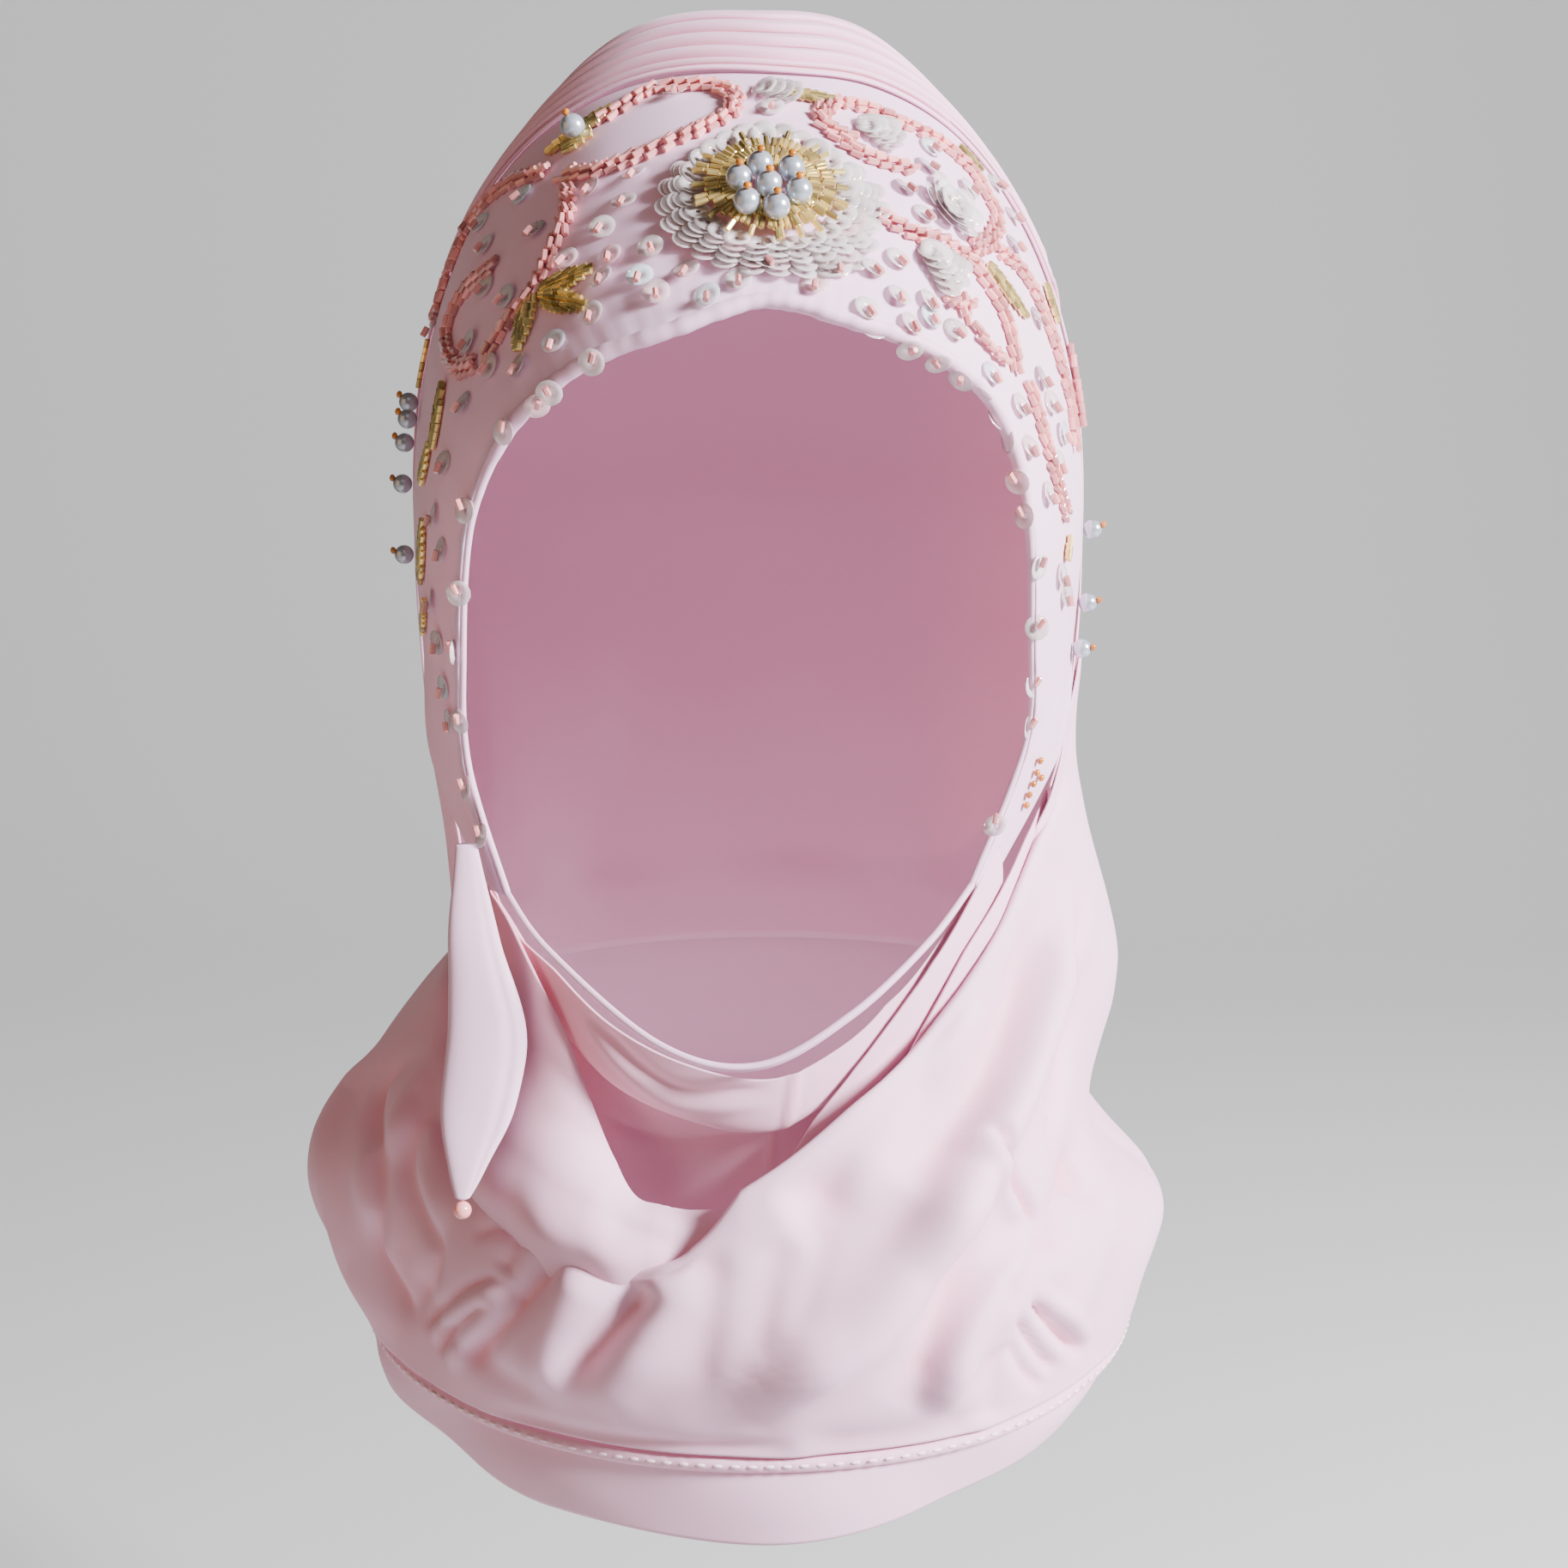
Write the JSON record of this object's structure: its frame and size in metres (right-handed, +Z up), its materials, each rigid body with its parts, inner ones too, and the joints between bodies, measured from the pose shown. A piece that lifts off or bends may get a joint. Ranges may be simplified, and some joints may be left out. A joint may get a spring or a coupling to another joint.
{
  "type": "embellished hijab",
  "caption": "Worn head covering of thin cloth: an open face, a beaded band over the forehead, a pleated veil, a cowl under the chin and a wrap round the shoulders.",
  "frame": {"origin": "the seat: the top of the head that carries the hijab, at the inside top of the crown", "axes": "+Z up along the head, -Y out through the face opening, +X to the viewer's right when the face opening is looked at"},
  "size_m": [0.2287, 0.2248, 0.3473],
  "materials": {
    "pink_chiffon": "pale pink chiffon with a fine crepe weave",
    "band_chiffon": "the same chiffon, drawn tight over the forehead",
    "sequin": "cream sequins with an iridescent sheen",
    "gold_bead": "metallic olive-gold glass bugle beads",
    "pearl": "silvery pearl",
    "pink_bead": "salmon-pink translucent bugle beads"
  },
  "bodies": {
    "root": {"veil": "pink_chiffon", "neck_panel": "pink_chiffon", "inner_fold": "pink_chiffon", "cowl_wrap": "pink_chiffon", "shoulder_cape": "pink_chiffon", "hem_seam": "pink_chiffon", "hem_flounce": "pink_chiffon", "side_tie": "pink_chiffon", "front_band": "band_chiffon", "face_rim": "band_chiffon", "flower_sequins": "sequin", "cluster_top": "sequin", "cluster_right_top": "sequin", "cluster_right": "sequin", "cluster_right_low": "sequin", "flower_rays": "gold_bead", "leaf_left_high": "gold_bead", "leaf_left_low": "gold_bead", "leaf_left_down": "gold_bead", "leaf_pearl_left": "gold_bead", "leaf_pearl_right": "gold_bead", "leaf_pearl_low": "gold_bead", "leaf_temple_left": "gold_bead", "leaf_temple_low": "gold_bead", "leaf_top": "gold_bead", "leaf_right_top": "gold_bead", "leaf_right": "gold_bead", "leaf_right_side": "gold_bead", "pearl_flower_1": "pearl", "pearl_flower_2": "pearl", "pearl_flower_3": "pearl", "pearl_flower_4": "pearl", "pearl_flower_5": "pearl", "pearl_flower_6": "pearl", "pearl_flower_7": "pearl", "pearl_upper_left": "pearl", "pearl_temple_1": "pearl", "pearl_temple_2": "pearl", "pearl_temple_3": "pearl", "pearl_temple_4": "pearl", "pearl_temple_5": "pearl", "pearl_temple_6": "pearl", "pearl_temple_7": "pearl", "pearl_temple_8": "pearl", "vine_left_top": "pink_bead", "vine_left_outer": "pink_bead", "vine_left_inner": "pink_bead", "vine_left_hook": "pink_bead", "vine_right_top": "pink_bead", "vine_right_inner": "pink_bead", "vine_right_low": "pink_bead", "vine_right_side": "pink_bead", "vine_right_down": "pink_bead", "tie_bead": "pink_bead"}
  },
  "joints": []
}
